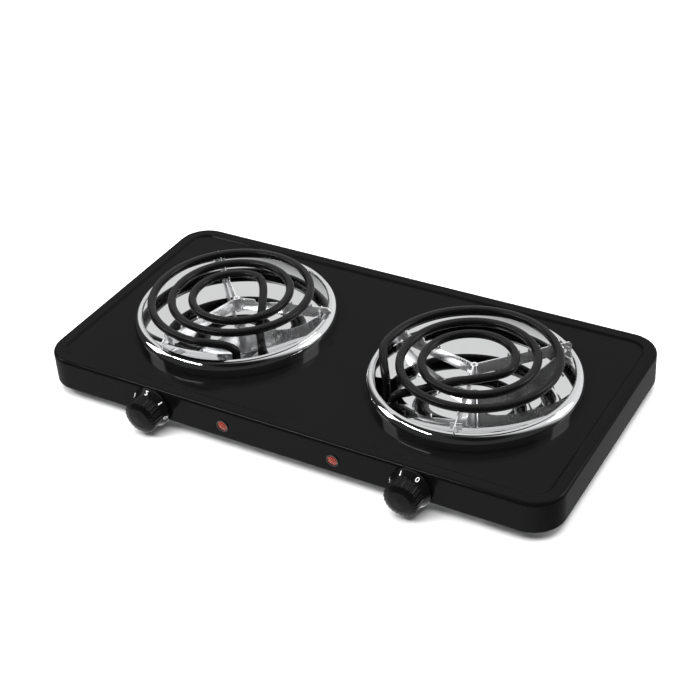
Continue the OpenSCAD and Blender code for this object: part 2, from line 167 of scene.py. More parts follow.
def bezier(a, b, c, d, n):
    t = np.linspace(0, 1, n + 1)[:, None]
    u = 1 - t
    return a * u ** 3 + 3 * b * u * u * t + 3 * c * u * t * t + d * t ** 3


def unit(v):
    return v / np.linalg.norm(v)


def polar(r, az, z=0.0):
    return np.array([r * math.cos(math.radians(az)), r * math.sin(math.radians(az)), z])


def near(out, side, z):
    """A point beside the terminals: how far out along them, how far across, and its height."""
    c, s = math.cos(math.radians(OUT_AZ)), math.sin(math.radians(OUT_AZ))
    return np.array([out * c - side * s, out * s + side * c, z])


def grid_faces(rows, columns, closed_columns=True, closed_rows=False):
    faces = []
    for i in range(rows if closed_rows else rows - 1):
        for j in range(columns if closed_columns else columns - 1):
            k, m = (i + 1) % rows, (j + 1) % columns
            faces.append((i * columns + j, i * columns + m, k * columns + m, k * columns + j))
    return faces


def lathe(profile, columns, angle=None):
    """Vertices and faces of a profile of (radius, height) turned about Z. angle(row, column) may
    move a column."""
    turn = angle or (lambda i, j: 2 * math.pi * j / columns)
    vertices = []
    for i, (r, z) in enumerate(profile):
        for j in range(columns):
            a = turn(i, j)
            vertices.append((r * math.cos(a), r * math.sin(a), z))
    return vertices, grid_faces(len(profile), columns)


def make(name, vertices, faces, sharp=35, place=None):
    """A mesh object from millimetre vertices, welded, with outward normals, smooth up to the sharp angle."""
    mesh = bpy.data.meshes.new(name)
    mesh.from_pydata([tuple(float(c) for c in v) for v in vertices], [], faces)
    bm = bmesh.new()
    bm.from_mesh(mesh)
    bmesh.ops.remove_doubles(bm, verts=bm.verts, dist=0.0005)
    bmesh.ops.dissolve_degenerate(bm, edges=bm.edges, dist=0.0001)
    bmesh.ops.recalc_face_normals(bm, faces=bm.faces)
    bm.to_mesh(mesh)
    bm.free()
    mesh.transform(Matrix.Scale(MM, 4) @ (place or Matrix.Identity(4)))
    obj = bpy.data.objects.new(name, mesh)
    bpy.context.scene.collection.objects.link(obj)
    shade(obj, sharp)
    return obj


def shade(obj, sharp):
    obj.data.polygons.foreach_set("use_smooth", [True] * len(obj.data.polygons))
    obj.data.set_sharp_from_angle(angle=math.radians(sharp))


def face_up(obj):
    """Turns the normals of an open skin so that its highest face looks up."""
    if max(obj.data.polygons, key=lambda f: f.center.z).normal.z < 0:
        obj.data.flip_normals()


def apply_modifiers(obj, sharp):
    bpy.context.view_layer.update()
    shaped = obj.evaluated_get(bpy.context.evaluated_depsgraph_get())
    mesh = bpy.data.meshes.new_from_object(shaped)
    obj.modifiers.clear()
    obj.data = mesh
    shade(obj, sharp)


def thicken(obj, thickness, sharp=35):
    """Gives an open skin its sheet thickness, on the side away from its normals."""
    modifier = obj.modifiers.new("sheet", "SOLIDIFY")
    modifier.thickness = thickness * MM
    modifier.offset = -1
    modifier.use_even_offset = True
    apply_modifiers(obj, sharp)


def soften(obj, width, sharp=35, segments=2):
    modifier = obj.modifiers.new("edges", "BEVEL")
    modifier.width = width * MM
    modifier.segments = segments
    modifier.limit_method = "ANGLE"
    modifier.angle_limit = math.radians(40)
    modifier.use_clamp_overlap = True
    apply_modifiers(obj, sharp)


def finish_piece(obj, body, material, slot, *replaced):
    obj.data.materials.clear()
    obj.data.materials.append(material)
    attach(obj, body)
    if replaced:
        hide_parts(*replaced)
    return obj


def burner_place(side):
    centre = middle(side + "_trim_ring")
    turn = math.radians(LEFT_TURN if side == "left" else 0)
    return Matrix.Translation((centre[0], centre[1], 0)) @ Matrix.Rotation(turn, 4, "Z")


def element_place(side):
    """The left element sits a little loosely, in from its terminals and across them."""
    slack = near(-LEFT_PULL, LEFT_ACROSS, 0) if side == "left" else np.zeros(3)
    return burner_place(side) @ Matrix.Translation(Vector(slack))


def front_place(node, z):
    """A place on the front wall whose local Z comes forward."""
    return Matrix.Translation((middle(node)[0], FRONT_Y, z)) @ Matrix.Rotation(math.pi / 2, 4, "X")


# ---------------------------------------------------------------- materials
class Shader:
    """One Principled material with procedural detail in object space, so sizes are in metres."""

    def __init__(self, name, color, roughness, metallic=0.0, **sockets):
        self.material = bpy.data.materials.new(name)
        self.material.use_nodes = True
        self.tree = self.material.node_tree
        self.bsdf = self.tree.nodes["Principled BSDF"]
        self.set("Base Color", (*color, 1))
        self.set("Roughness", roughness)
        self.set("Metallic", metallic)
        for key, value in sockets.items():
            self.set(key.replace("_", " "), value)
        self.coordinates = self.node("ShaderNodeTexCoord").outputs["Object"]
        self.height = None

    def set(self, socket, value):
        self.bsdf.inputs[socket].default_value = value

    def node(self, kind, **settings):
        node = self.tree.nodes.new(kind)
        for key, value in settings.items():
            setattr(node, key, value)
        return node

    def link(self, a, b):
        self.tree.links.new(a, b)

    def mapped(self, stretch=(1, 1, 1), turn=(0, 0, 0)):
        mapping = self.node("ShaderNodeMapping")
        mapping.inputs["Scale"].default_value = stretch
        mapping.inputs["Rotation"].default_value = turn
        self.link(self.coordinates, mapping.inputs["Vector"])
        return mapping.outputs["Vector"]

    def noise(self, size, detail=4.0, stretch=(1, 1, 1), rough=0.55):
        """Cloudy noise whose features are about size metres across."""
        noise = self.node("ShaderNodeTexNoise")
        noise.inputs["Scale"].default_value = 1 / size
        noise.inputs["Detail"].default_value = detail
        noise.inputs["Roughness"].default_value = rough
        self.link(self.mapped(stretch), noise.inputs["Vector"])
        return noise.outputs["Fac"]

    def cells(self, size, feature="F1"):
        cells = self.node("ShaderNodeTexVoronoi", feature=feature)
        cells.inputs["Scale"].default_value = 1 / size
        self.link(self.mapped(), cells.inputs["Vector"])
        return cells

    def ramp(self, value, low, high, start=0.3, end=0.7):
        """value between start and end becomes a number between low and high."""
        remap = self.node("ShaderNodeMapRange")
        for key, number in (("From Min", start), ("From Max", end), ("To Min", low), ("To Max", high)):
            remap.inputs[key].default_value = number
        self.link(value, remap.inputs["Value"])
        return remap.outputs["Result"]

    def blend_colors(self, factor, a, b):
        mix = self.node("ShaderNodeMix", data_type="RGBA")
        self.link(factor, mix.inputs["Factor"])
        mix.inputs[6].default_value = (*a, 1)
        mix.inputs[7].default_value = (*b, 1)
        return mix.outputs[2]

    def color(self, factor, a, b):
        self.link(self.blend_colors(factor, a, b), self.bsdf.inputs["Base Color"])
        return self

    def roughness(self, value, low, high, start=0.3, end=0.7):
        self.link(self.ramp(value, low, high, start, end), self.bsdf.inputs["Roughness"])
        return self

    def bump(self, value, strength, distance):
        bump = self.node("ShaderNodeBump")
        bump.inputs["Strength"].default_value = strength
        bump.inputs["Distance"].default_value = distance
        self.link(value, bump.inputs["Height"])
        if self.height is not None:
            self.link(self.height, bump.inputs["Normal"])
        self.height = bump.outputs["Normal"]
        self.link(self.height, self.bsdf.inputs["Normal"])
        return self


def black_enamel():
    s = Shader("black_enamel", (0.0035, 0.0035, 0.0037), 0.4, Specular_IOR_Level=0.0,
               Coat_Weight=0.16, Coat_Roughness=0.12)
    s.color(s.noise(0.11, 3), (0.003, 0.003, 0.0032), (0.0042, 0.0042, 0.0044))
    s.roughness(s.noise(0.035, 5), 0.35, 0.45)
    s.link(s.ramp(s.noise(0.035, 5), 0.1, 0.16), s.bsdf.inputs["Coat Roughness"])
    s.bump(s.noise(0.0022, 3), 0.08, 0.00008)
    s.bump(s.noise(0.0004, 2), 0.05, 0.00002)
    s.link(s.height, s.bsdf.inputs["Coat Normal"])
    return s


def chrome():
    s = Shader("chrome", (0.9, 0.91, 0.92), 0.03, 1.0)
    s.color(s.noise(0.03, 4), (0.84, 0.85, 0.865), (0.91, 0.915, 0.92))
    s.roughness(s.noise(0.012, 6), 0.02, 0.05)
    return s.bump(s.noise(0.02, 2), 0.04, 0.0002)


def bowl_chrome():
    s = Shader("bowl_chrome", (0.82, 0.82, 0.83), 0.02, 1.0)
    s.color(s.noise(0.04, 3), (0.76, 0.765, 0.77), (0.83, 0.835, 0.84))
    s.roughness(s.noise(0.02, 5), 0.008, 0.028)
    return s.bump(s.noise(0.03, 2), 0.04, 0.0002)


def support_steel():
    s = Shader("support_steel", (0.85, 0.85, 0.86), 0.3, 0.8)
    s.color(s.noise(0.015, 5), (0.76, 0.76, 0.77), (0.9, 0.9, 0.91))
    s.roughness(s.noise(0.01, 4), 0.24, 0.34)
    return s.bump(s.noise(0.003, 3), 0.03, 0.00003)


def heater_sheath():
    s = Shader("heater_sheath", (0.004, 0.004, 0.004), 0.24, Specular_IOR_Level=0.17)
    s.color(s.noise(0.02, 5), (0.003, 0.003, 0.0031), (0.0055, 0.0054, 0.0053))
    s.roughness(s.noise(0.01, 4), 0.2, 0.28)
    s.bump(s.noise(0.003, 3), 0.03, 0.00003)
    return s.bump(s.noise(0.00035, 2), 0.05, 0.00001)


def ceramic():
    s = Shader("ceramic", (0.87, 0.85, 0.78), 0.6)
    s.color(s.noise(0.004, 6), (0.8, 0.77, 0.69), (0.89, 0.87, 0.81))
    s.roughness(s.noise(0.002, 4), 0.5, 0.7)
    return s.bump(s.noise(0.0005, 3), 0.3, 0.00006)


def zinc_steel():
    s = Shader("zinc_steel", (0.6, 0.61, 0.62), 0.38, 1.0)
    spangle = s.cells(0.009)
    s.color(spangle.outputs["Color"], (0.5, 0.51, 0.53), (0.68, 0.69, 0.7))
    s.roughness(spangle.outputs["Color"], 0.28, 0.5, 0, 1)
    return s.bump(s.noise(0.0007, 3), 0.12, 0.00004)


def screw_steel():
    s = Shader("screw_steel", (0.68, 0.68, 0.69), 0.28, 1.0)
    s.color(s.noise(0.003, 5), (0.58, 0.58, 0.59), (0.74, 0.74, 0.75))
    s.roughness(s.noise(0.001, 5), 0.2, 0.38)
    return s.bump(s.noise(0.0004, 3, (1, 1, 4)), 0.15, 0.00004)


def brass():
    s = Shader("brass", (0.78, 0.6, 0.28), 0.3, 1.0)
    s.color(s.noise(0.003, 5), (0.66, 0.48, 0.2), (0.82, 0.64, 0.32))
    return s.roughness(s.noise(0.001, 4), 0.22, 0.42)


def black_rubber():
    s = Shader("black_rubber", (0.022, 0.022, 0.022), 0.8, Specular_IOR_Level=0.3)
    s.color(s.noise(0.01, 5), (0.015, 0.015, 0.015), (0.032, 0.032, 0.031))
    s.roughness(s.noise(0.004, 4), 0.7, 0.9)
    return s.bump(s.noise(0.0003, 3), 0.35, 0.00005)


def knob_plastic():
    s = Shader("knob_plastic", (0.0035, 0.0035, 0.0038), 0.14, Specular_IOR_Level=0.09)
    s.color(s.noise(0.02, 3), (0.0028, 0.0028, 0.003), (0.0045, 0.0045, 0.0048))
    s.roughness(s.noise(0.006, 5), 0.1, 0.18)
    return s.bump(s.noise(0.0006, 3), 0.06, 0.00003)


def numeral_paint():
    s = Shader("numeral_paint", (0.82, 0.82, 0.82), 0.45)
    s.color(s.noise(0.0012, 4), (0.72, 0.72, 0.72), (0.88, 0.88, 0.88))
    return s.bump(s.noise(0.0003, 3), 0.2, 0.00002)


def bezel_plastic():
    s = Shader("bezel_plastic", (0.012, 0.012, 0.012), 0.35)
    s.color(s.noise(0.004, 4), (0.009, 0.009, 0.009), (0.016, 0.016, 0.016))
    s.roughness(s.noise(0.002, 4), 0.28, 0.45)
    return s.bump(s.noise(0.0004, 3), 0.12, 0.00003)


def lens_plastic():
    """Red plastic with diamond cuts, whose colour is darkened along their grooves with painted shade."""
    s = Shader("lens_plastic", (0.75, 0.07, 0.02), 0.12, Coat_Weight=0.3)
    waves = []
    for direction in ("X", "Z"):
        wave = s.node("ShaderNodeTexWave", wave_type="BANDS", bands_direction=direction)
        wave.inputs["Scale"].default_value = 205
        s.link(s.mapped(turn=(0, math.pi / 4, 0)), wave.inputs["Vector"])
        waves.append(wave.outputs["Fac"])
    painted_groove_shade = s.node("ShaderNodeMath", operation="MULTIPLY")
    s.link(waves[0], painted_groove_shade.inputs[0])
    s.link(waves[1], painted_groove_shade.inputs[1])
    # painted shade: the colour goes dark red in the grooves and bright red on the facets between them
    s.color(s.ramp(painted_groove_shade.outputs[0], 0, 1, 0.15, 0.75), (0.03, 0.002, 0.0015), (0.9, 0.09, 0.035))
    s.set("Emission Color", (0.95, 0.1, 0.03, 1))
    s.set("Emission Strength", 0.01)
    return s.roughness(s.noise(0.002, 3), 0.08, 0.2)


def cream_plastic():
    s = Shader("cream_plastic", (0.82, 0.79, 0.7), 0.45)
    s.color(s.noise(0.008, 4), (0.77, 0.73, 0.63), (0.86, 0.83, 0.75))
    s.roughness(s.noise(0.003, 4), 0.38, 0.55)
    return s.bump(s.noise(0.0006, 3), 0.12, 0.00004)


def lead_sleeve():
    s = Shader("lead_sleeve", (0.75, 0.72, 0.64), 0.75)
    wave = s.node("ShaderNodeTexWave", wave_type="BANDS", bands_direction="DIAGONAL")
    wave.inputs["Scale"].default_value = 260
    wave.inputs["Distortion"].default_value = 1.5
    s.link(s.coordinates, wave.inputs["Vector"])
    s.color(wave.outputs["Fac"], (0.6, 0.57, 0.49), (0.82, 0.8, 0.73))
    return s.bump(wave.outputs["Fac"], 0.5, 0.0001)


SHADERS = {maker.__name__: maker().material for maker in (
    black_enamel, chrome, bowl_chrome, support_steel, heater_sheath, ceramic, zinc_steel, screw_steel, brass,
    black_rubber, knob_plastic, numeral_paint, bezel_plastic, lens_plastic, cream_plastic, lead_sleeve)}
SLOT_OF = {part["node"]: part["material_slot"] for part in frame["record"]["subparts"]}


# ---------------------------------------------------------------- housing
def housing_skin():
    """The outer skin: a profile carried round the rounded outline, and two flat faces filled
    round their holes."""
    half_w, half_d = (HOUSING_HIGH - HOUSING_LOW)[:2] / 2
    band_x = CORNER_R - BAND
    profile = rounded([
        (CORNER_R - HEM_W, HEM_Z, 0), (CORNER_R, HEM_Z, 1.2), (CORNER_R, RIM_Z, FOLD_R),
        (band_x, RIM_Z, 1.1), (band_x - STEP_W, PANEL_Z, 1.1), (band_x - STEP_W - 3, PANEL_Z, 0)], steps=8)
    wall = max(range(len(profile) - 1), key=lambda j: abs(profile[j + 1][1] - profile[j][1]))
    bm = bmesh.new()
    rows = []
    arc_steps = 20
    front = None
    for corner, (sx, sy) in enumerate(((1, 1), (-1, 1), (-1, -1), (1, -1))):
        for k in range(arc_steps + 1):
            a = math.pi / 2 * (corner + k / arc_steps)
            cx = MID[0] + sx * (half_w - CORNER_R)
            cy = MID[1] + sy * (half_d - CORNER_R)
            rows.append([bm.verts.new((cx + x * math.cos(a), cy + x * math.sin(a), z)) for x, z in profile])
        if corner == 2:
            front = len(rows) - 1
    for i in range(len(rows)):
        k = (i + 1) % len(rows)
        for j in range(len(profile) - 1):
            if i != front or j != wall:
                bm.faces.new((rows[i][j], rows[k][j], rows[k][j + 1], rows[i][j + 1]))

    def circle(centre, across, up, radius, n):
        ring = [bm.verts.new(centre + radius * (across * math.cos(2 * math.pi * i / n)
                                                + up * math.sin(2 * math.pi * i / n))) for i in range(n)]
        return [bm.edges.new((ring[i], ring[(i + 1) % n])) for i in range(n)]

    def edge_between(a, b):
        return bm.edges.get((a, b)) or bm.edges.new((a, b))

    panel = [edge_between(rows[i][-1], rows[(i + 1) % len(rows)][-1]) for i in range(len(rows))]
    x_axis, y_axis, z_axis = Vector((1, 0, 0)), Vector((0, 1, 0)), Vector((0, 0, 1))
    for side in SIDES:
        centre = middle(side + "_trim_ring")
        panel += circle(Vector((centre[0], centre[1], PANEL_Z)), x_axis, y_axis, CUTOUT_R, 128)
    bmesh.ops.triangle_fill(bm, use_beauty=True, edges=panel)

    after = (front + 1) % len(rows)
    corners = [rows[front][wall], rows[after][wall], rows[after][wall + 1], rows[front][wall + 1]]
    wall_edges = [edge_between(corners[i], corners[(i + 1) % 4]) for i in range(4)]
    for side in SIDES:
        knob = Vector((middle(side + "_knob")[0], FRONT_Y, KNOB_Z))
        lamp = Vector((middle(side + "_lamp_lens")[0], FRONT_Y, LAMP_Z))
        wall_edges += circle(knob, x_axis, z_axis, SHAFT_HOLE_R, 32)
        for dx in (-PLATE_SCREW_X, PLATE_SCREW_X):
            wall_edges += circle(knob + Vector((dx, 0, 0)), x_axis, z_axis, PLATE_SCREW_R, 16)
        wall_edges += circle(lamp, x_axis, z_axis, LAMP_R + 0.5, 32)
    bmesh.ops.triangle_fill(bm, use_beauty=True, edges=wall_edges)

    bmesh.ops.recalc_face_normals(bm, faces=bm.faces)
    top = max(bm.faces, key=lambda f: f.calc_center_median().z)
    if top.normal.z < 0:
        bmesh.ops.reverse_faces(bm, faces=bm.faces)
    bm.verts.index_update()
    vertices = [tuple(v.co) for v in bm.verts]
    faces = [[v.index for v in f.verts] for f in bm.faces]
    bm.free()
    obj = make("housing_shell", vertices, faces, sharp=30)
    face_up(obj)
    thicken(obj, SHEET, sharp=30)
    return finish_piece(obj, "base", SHADERS["black_enamel"], "black_enamel", "housing")


# ---------------------------------------------------------------- burners
def trim_ring(side):
    """Pressed collar: a lip inside, a crown that starts already sloped, and a straight wall down
    to the panel."""
    dome = (RING_R - LIP_R) / (1 - math.sin(CROWN_START))
    crown = [np.array([LIP_R + dome * (math.sin(a) - math.sin(CROWN_START)),
                       RING_Z - dome * (math.cos(CROWN_START) - math.cos(a))])
             for a in np.linspace(CROWN_START, math.pi / 2, 18)]
    lip = [np.array([LIP_R, RING_Z - LIP_H]), np.array([LIP_R, RING_Z - 0.3])]
    wall = [np.array([RING_R, PANEL_Z + 0.4]), np.array([RING_R, PANEL_Z])]
    profile = lip + crown + wall
    vertices, faces = lathe(profile, 224)
    obj = make(side + "_collar", vertices, faces, place=burner_place(side))
    face_up(obj)
    thicken(obj, COLLAR_SHEET)
    return finish_piece(obj, "base", SHADERS["chrome"], "chrome", side + "_trim_ring")


def bowl_z(r):
    """Height of the bowl's inside at that radius."""
    return BOWL_FLOOR_Z + (RING_Z - BOWL_FLOOR_Z) * (r / BOWL_R) ** 3


def bowl_profile():
    """The bowl's inside from its flange to its middle, rising slowly at first and faster to the lip."""
    top = RING_Z + BOWL_T
    last = BOWL_R * ((WINDOW_TOP - BOWL_FLOOR_Z) / (RING_Z - BOWL_FLOOR_Z)) ** (1 / 3)
    radii = [BOWL_R - 0.5, *np.linspace(last, WINDOW_IN, 14), *np.linspace(WINDOW_IN, 0, 40)[1:-1]]
    curve = [np.array([r, bowl_z(r)]) for r in radii + [0.01]]
    corners = [(BOWL_R + FLANGE_W, top, 0), (BOWL_R, top, 0.5), tuple(curve[0]) + (0,)]
    flange = rounded(corners, steps=6, guard=0.2)
    return flange[:-1] + curve


def drip_bowl(side):
    """A mirror dish. Its columns are drawn together beside the terminal window, so that the
    window's edges are straight while every vertex stays on the turned surface."""
    profile = bowl_profile()
    columns = 224
    window_columns = 8
    nominal = 360 / columns * window_columns
    pull_from = 45     # radius in millimetres, inside which the columns stay even
    even_past = 45     # degrees from the window's middle, past which they do too

    def angle(i, j):
        r = profile[i][0]
        a = 360 * j / columns
        a = a - 360 if a > 180 else a
        wanted = math.degrees(math.asin(WINDOW_HALF / max(r, WINDOW_IN)))
        pull = min(1, max(0, (r - pull_from) / (WINDOW_IN - pull_from)))
        scale = 1 + pull * (wanted / nominal - 1)
        size = abs(a)
        if size <= nominal:
            size *= scale
        elif size < even_past:
            spread = (even_past - nominal * scale) / (even_past - nominal)
            size = nominal * scale + (size - nominal) * spread
        return math.radians(OUT_AZ + math.copysign(size, a))

    vertices, faces = lathe(profile, columns, angle)
    heights = [p[1] for p in profile]
    first = next(i for i, z in enumerate(heights) if z <= WINDOW_TOP + 0.01)
    last = next(i for i, p in enumerate(profile) if p[0] <= WINDOW_IN + 0.01)
    kept = []
    for n, face in enumerate(faces):
        i, j = divmod(n, columns)
        inside = j < window_columns or j >= columns - window_columns
        if not (inside and first <= i < last):
            kept.append(face)
    obj = make(side + "_dish", vertices, kept, place=burner_place(side))
    face_up(obj)
    thicken(obj, BOWL_T)
    return finish_piece(obj, "base", SHADERS["bowl_chrome"], "chrome", side + "_drip_bowl")


def spiral_r(az):
    return COIL_R - COIL_PITCH * (COIL_AZ0 - az) / 360


def turn_point(az):
    return polar(spiral_r(az), az, COIL_Z)


def coil_path():
    def way(az):
        return np.array([math.sin(math.radians(az)), -math.cos(math.radians(az)), 0])

    def bend_up(side):
        return bezier(near(LEG_OUT + LEG_BEND, side, LEG_Z), near(LEG_OUT + LEG_BEND * 0.45, side, LEG_Z),
                      near(LEG_OUT, side, LEG_Z + LEG_BEND * 0.55), near(LEG_OUT, side, LEG_Z + LEG_BEND), 10)

    cross_under = np.array([-2, -27, COIL_Z - 3])
    under_turns = np.array([-24, -38.5, COIL_Z - 9])
    before_dive = np.array([-35.5, -47.8, COIL_Z - 10])
    cross_way = unit(np.array([-0.87, -0.5, 0]))
    under_way = unit(before_dive - under_turns)
    drop = np.array([0, 0, 2.0])
    start, end = turn_point(COIL_AZ0), turn_point(COIL_AZ1)
    pieces = [
        [near(LEG_END, -LEG_GAP, LEG_Z)], bend_up(-LEG_GAP),
        bezier(near(LEG_OUT, -LEG_GAP, 44), near(LEG_OUT, -LEG_GAP, 53),
               start - 9 * way(COIL_AZ0), start, 16),
        [turn_point(az) for az in np.arange(COIL_AZ0 - 3, COIL_AZ1 + 1.5, -3)],
        bezier(end, end + 12 * way(COIL_AZ1), cross_under - 14 * cross_way + drop, cross_under, 24),
        bezier(cross_under, cross_under + 8 * cross_way - drop, under_turns - 7 * under_way + drop / 2,
               under_turns, 12),
        bezier(before_dive, before_dive + 7 * under_way, near(LEG_OUT, LEG_GAP, COIL_Z - 11),
               near(LEG_OUT, LEG_GAP, 37), 14),
        bend_up(LEG_GAP)[::-1], [near(LEG_END, LEG_GAP, LEG_Z)]]
    path = []
    for point in (p for piece in pieces for p in piece):
        if not path or np.linalg.norm(point - path[-1]) > 0.05:
            path.append(np.array(point, float))
    return np.array(path)


def tube(path, radius, sides, up, flat=0.0):
    """A swept round tube. Its section keeps the direction up as it goes, and flat presses the
    upper side level."""
    n = len(path)
    tangents = [unit(path[min(i + 1, n - 1)] - path[max(i - 1, 0)]) for i in range(n)]
    middle_row = n // 2
    ups = [None] * n
    ups[middle_row] = unit(up - (up @ tangents[middle_row]) * tangents[middle_row])
    for order in (range(middle_row + 1, n), range(middle_row - 1, -1, -1)):
        last = ups[middle_row]
        for i in order:
            last = unit(last - (last @ tangents[i]) * tangents[i])
            ups[i] = last
    vertices = []
    for i in range(n):
        across = np.cross(tangents[i], ups[i])
        level = max(0.0, (float(ups[i][2]) - 0.9) / 0.1)
        for k in range(sides):
            a = 2 * math.pi * k / sides
            x, y = math.cos(a), math.sin(a)
            if y > 0.78:
                y -= flat * level * (y - 0.78)
            vertices.append(path[i] + radius * (x * across + y * ups[i]))
    faces = grid_faces(n, sides)
    faces += [list(range(sides)), [(n - 1) * sides + k for k in range(sides)][::-1]]
    return vertices, faces


def coil(side):
    vertices, faces = tube(coil_path(), TUBE_R, 28, np.array([0, 0, 1.0]), flat=0.6)
    obj = make(side + "_heater", vertices, faces, place=element_place(side))
    return finish_piece(obj, side + "_element", SHADERS["heater_sheath"], "heater_sheath", side + "_coil")


def crossings(az):
    """Radii at which the turns cross an arm, from the outside in."""
    found = [spiral_r(az + 360 * k) for k in range(-6, 1) if COIL_AZ1 + 4 < az + 360 * k < COIL_AZ0 - 4]
    return sorted(found, reverse=True)


def slab(outline, thickness):
    """A flat plate from an (x, z) outline, standing across Y."""
    n = len(outline)
    vertices = [(x, s * thickness / 2, z) for s in (-1, 1) for x, z in outline]
    faces = [list(range(n)), list(range(2 * n - 1, n - 1, -1))]
    faces += [(i, i + n, (i + 1) % n + n, (i + 1) % n) for i in range(n)]
    return vertices, faces


def arm(side, index):
    """A bright strip on edge: its pointed tabs hold each turn, and its tongue rests in the collar."""
    top = ARM_TOP
    tongue = RING_Z + 0.75
    outline = [(HUB_R + 0.05, ARM_LOW), (66.5, ARM_LOW), (72, 44.8), (75, tongue),
               (ARM_TIP, tongue), (ARM_TIP, RING_Z + 3.5), (79, top)]
    notch = (16, 32) if index == 0 else None
    for r in crossings(ARM_AZ[index]):
        if r + 5.2 < 78:
            outline += [(r + 5.4, top), (r + 4.9, top + 2.7), (r + 4.1, top + 3.1), (r + 3.9, top + 0.3)]
        if notch and r - 5 < notch[1]:
            outline += [(notch[1], top), (notch[1] - 1, top - 3)]
            continue
        outline += [(r - 3.6, top), (r - 3.7, top + 2.9), (r - 4.9, top + 2.9), (r - 5.3, top)]
    if notch:
        outline += [(notch[0] + 1, top - 3), (notch[0], top)]
    outline += [(HUB_R + 0.05, top)]
    turn = Matrix.Rotation(math.radians(ARM_AZ[index]), 4, "Z")
    vertices, faces = slab(outline, 1.0)
    plate = [(END_PLATE_R + a, b * END_PLATE_HALF, z)
             for a in (0, 1) for b in (-1, 1) for z in (END_PLATE_LOW, END_PLATE_TOP)]
    base = len(vertices)
    vertices += plate
    faces += [[base + k for k in f] for f in (
        (0, 1, 3, 2), (4, 6, 7, 5), (0, 4, 5, 1), (2, 3, 7, 6), (0, 2, 6, 4), (1, 5, 7, 3))]
    name = "arm_" + "abc"[index]
    obj = make(side + "_support_" + "abc"[index], vertices, faces, place=element_place(side) @ turn)
    soften(obj, 0.14)
    return finish_piece(obj, side + "_element", SHADERS["support_steel"], "support_steel", side + "_" + name)


def hub(side):
    """A tubular rivet with a rolled head, and a flange under the arms."""
    profile = rounded([
        (1.3, ARM_LOW - 1, 0), (4.6, ARM_LOW - 1, 0.3), (4.6, ARM_LOW, 0.4),
        (HUB_R, ARM_LOW, 0.3), (HUB_R, ARM_TOP - 0.9, 0.3), (3.1, ARM_TOP - 0.5, 0.3),
        (2.6, ARM_TOP, 0.3), (1.5, ARM_TOP - 0.2, 0.3), (1.3, ARM_TOP - 1.6, 0.2),
        (1.3, ARM_LOW - 1, 0)], steps=4, guard=0.1)
    vertices, faces = lathe(profile, 40)
    obj = make(side + "_rivet", vertices, faces, place=element_place(side))
    return finish_piece(obj, side + "_element", SHADERS["support_steel"], "support_steel", side + "_hub")


# ---------------------------------------------------------------- controls
SKIRT_TOP_Z = 3.2
CONE_Z = 8.0


def knob(side):
    """Glossy knob: a hollow numbered skirt, a fluted grip and a domed cap."""
    flutes = 24
    per_flute = 12
    columns = flutes * per_flute
    cap = rounded([
        (4.0, 4.2, 0), (14.4, 4.2, 0.4), (14.8, 1.2, 0.2), (SKIRT_R, 1.2, 0.35), (SKIRT_R, SKIRT_TOP_Z, 0.5),
        (GRIP_R + 0.3, CONE_Z, 0.5), (GRIP_R, CONE_Z + 0.3, 0.2), (GRIP_R, KNOB_REACH - 2.7, 1.2),
        (9, KNOB_REACH - 0.95, 6), (0.01, KNOB_REACH, 0)], steps=6, guard=0.3)
    rows = []
    for a, b in zip(cap, cap[1:]):
        parts = 5 if abs(b[1] - a[1]) > 3 and b[0] > 10 else 1
        rows += [a + (b - a) * k / parts for k in range(parts)]
    rows.append(cap[-1])
    vertices = []
    for r, z in rows:
        depth = 0.75 * min(1, max(0, (z - CONE_Z - 0.4) / 0.8)) * min(1, max(0, (KNOB_REACH - 1.6 - z) / 1.4))
        if r < GRIP_R - 2.6:
            depth = 0
        for j in range(columns):
            u = (j % per_flute) / per_flute - 0.5
            groove = max(0.0, 1 - (u / 0.3) ** 2)
            a = 2 * math.pi * j / columns
            s = r - depth * groove
            vertices.append((s * math.cos(a), s * math.sin(a), z))
    faces = grid_faces(len(rows), columns)
    # The boss round the shaft closes the back.
    boss = [(4.0, 4.2), (4.0, 1.6), (3.15, 1.6), (3.15, 12.9), (0.01, 12.9)]
    boss_vertices, boss_faces = lathe(boss, columns)
    base = len(vertices)
    vertices += boss_vertices
    faces += [[base + k for k in f] for f in boss_faces]
    obj = make(side + "_dial_knob", vertices, faces, sharp=40, place=front_place(side + "_knob", KNOB_Z))
    return finish_piece(obj, side + "_dial", SHADERS["knob_plastic"], "knob_plastic", side + "_knob")


def arc(cx, cy, rx, ry, start, end, n=10):
    return [(cx + rx * math.cos(math.radians(start + (end - start) * k / n)),
             cy + ry * math.sin(math.radians(start + (end - start) * k / n))) for k in range(n + 1)]


# Strokes of each numeral in a box 0.6 wide and 1 high.
NUMERALS = [
    [arc(0.3, 0.5, 0.26, 0.5, 90, 450, 20)],
    [[(0.12, 0.8), (0.34, 1.0), (0.34, 0.0)]],
    [arc(0.3, 0.74, 0.26, 0.26, 165, -20, 8) + [(0.03, 0.0), (0.58, 0.0)]],
    [arc(0.28, 0.76, 0.25, 0.24, 150, -90, 8), arc(0.28, 0.26, 0.29, 0.26, 90, -150, 8)],
    [[(0.44, 0.0), (0.44, 1.0), (0.02, 0.3), (0.6, 0.3)]],
    [[(0.54, 1.0), (0.1, 1.0), (0.06, 0.56)] + arc(0.28, 0.3, 0.28, 0.3, 110, -150, 10)]]


